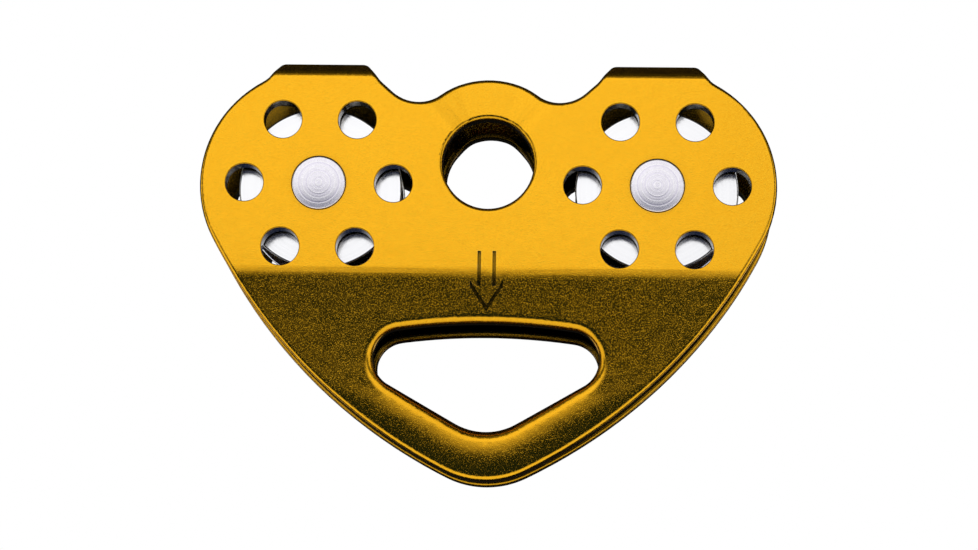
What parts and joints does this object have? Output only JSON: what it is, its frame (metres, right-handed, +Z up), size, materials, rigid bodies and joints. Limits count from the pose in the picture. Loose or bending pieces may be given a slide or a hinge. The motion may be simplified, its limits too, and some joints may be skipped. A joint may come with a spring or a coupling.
{
  "type": "rope pulley",
  "caption": "In-line double rope pulley for climbing and rigging: two formed plates, grooved sheaves on shielded ball bearings, an upper bore and a lower connector hole.",
  "frame": {"origin": "centre of the upper bore, halfway between the two plates", "axes": "+X along the line of the two axles, +Z up towards the tabs, +Y through the plates, the plate with the load arrow facing -Y"},
  "size_m": [0.116, 0.0252, 0.0842],
  "materials": {
    "plate": "gold anodised",
    "axle": "turned stainless steel",
    "sheave": "polished",
    "spacer": "turned",
    "bearing": "ground bearing steel",
    "cage": "stamped",
    "shield": "stamped stainless steel"
  },
  "bodies": {
    "frame": {"plate_front": "plate", "plate_rear": "plate", "axle_left": "axle", "sleeve_left": "spacer", "spacer_left_front": "spacer", "bearing_left_front_inner_ring": "bearing", "spacer_left_rear": "spacer", "bearing_left_rear_inner_ring": "bearing", "axle_right": "axle", "sleeve_right": "spacer", "spacer_right_front": "spacer", "bearing_right_front_inner_ring": "bearing", "spacer_right_rear": "spacer", "bearing_right_rear_inner_ring": "bearing"},
    "cage_left_front": {"bearing_left_front_cage": "cage", "bearing_left_front_balls": "bearing"},
    "cage_left_rear": {"bearing_left_rear_cage": "cage", "bearing_left_rear_balls": "bearing"},
    "sheave_left_body": {"sheave_left": "sheave", "bearing_left_front_outer_ring": "bearing", "bearing_left_front_shield_outer": "shield", "bearing_left_front_shield_inner": "shield", "bearing_left_rear_outer_ring": "bearing", "bearing_left_rear_shield_outer": "shield", "bearing_left_rear_shield_inner": "shield"},
    "cage_right_front": {"bearing_right_front_cage": "cage", "bearing_right_front_balls": "bearing"},
    "cage_right_rear": {"bearing_right_rear_cage": "cage", "bearing_right_rear_balls": "bearing"},
    "sheave_right_body": {"sheave_right": "sheave", "bearing_right_front_outer_ring": "bearing", "bearing_right_front_shield_outer": "shield", "bearing_right_front_shield_inner": "shield", "bearing_right_rear_outer_ring": "bearing", "bearing_right_rear_shield_outer": "shield", "bearing_right_rear_shield_inner": "shield"}
  },
  "joints": [
    {"name": "sheave_left_spin", "type": "hinge", "parent": "frame", "child": "sheave_left_body", "pos_m": [-0.034, 0, -0.0043], "axis": [0, 1, 0], "continuous": true},
    {"name": "cage_left_front_spin", "type": "hinge", "parent": "frame", "child": "cage_left_front", "pos_m": [-0.034, 0, -0.0043], "axis": [0, 1, 0], "continuous": true},
    {"name": "cage_left_rear_spin", "type": "hinge", "parent": "frame", "child": "cage_left_rear", "pos_m": [-0.034, 0, -0.0043], "axis": [0, 1, 0], "continuous": true},
    {"name": "sheave_right_spin", "type": "hinge", "parent": "frame", "child": "sheave_right_body", "pos_m": [0.034, 0, -0.0043], "axis": [0, 1, 0], "continuous": true},
    {"name": "cage_right_front_spin", "type": "hinge", "parent": "frame", "child": "cage_right_front", "pos_m": [0.034, 0, -0.0043], "axis": [0, 1, 0], "continuous": true},
    {"name": "cage_right_rear_spin", "type": "hinge", "parent": "frame", "child": "cage_right_rear", "pos_m": [0.034, 0, -0.0043], "axis": [0, 1, 0], "continuous": true}
  ],
  "couplings": [
    {"joint": "cage_left_front_spin", "follows": "sheave_left_spin", "ratio": 0.5833},
    {"joint": "cage_left_rear_spin", "follows": "sheave_left_spin", "ratio": 0.5833},
    {"joint": "cage_right_front_spin", "follows": "sheave_right_spin", "ratio": 0.5833},
    {"joint": "cage_right_rear_spin", "follows": "sheave_right_spin", "ratio": 0.5833}
  ]
}
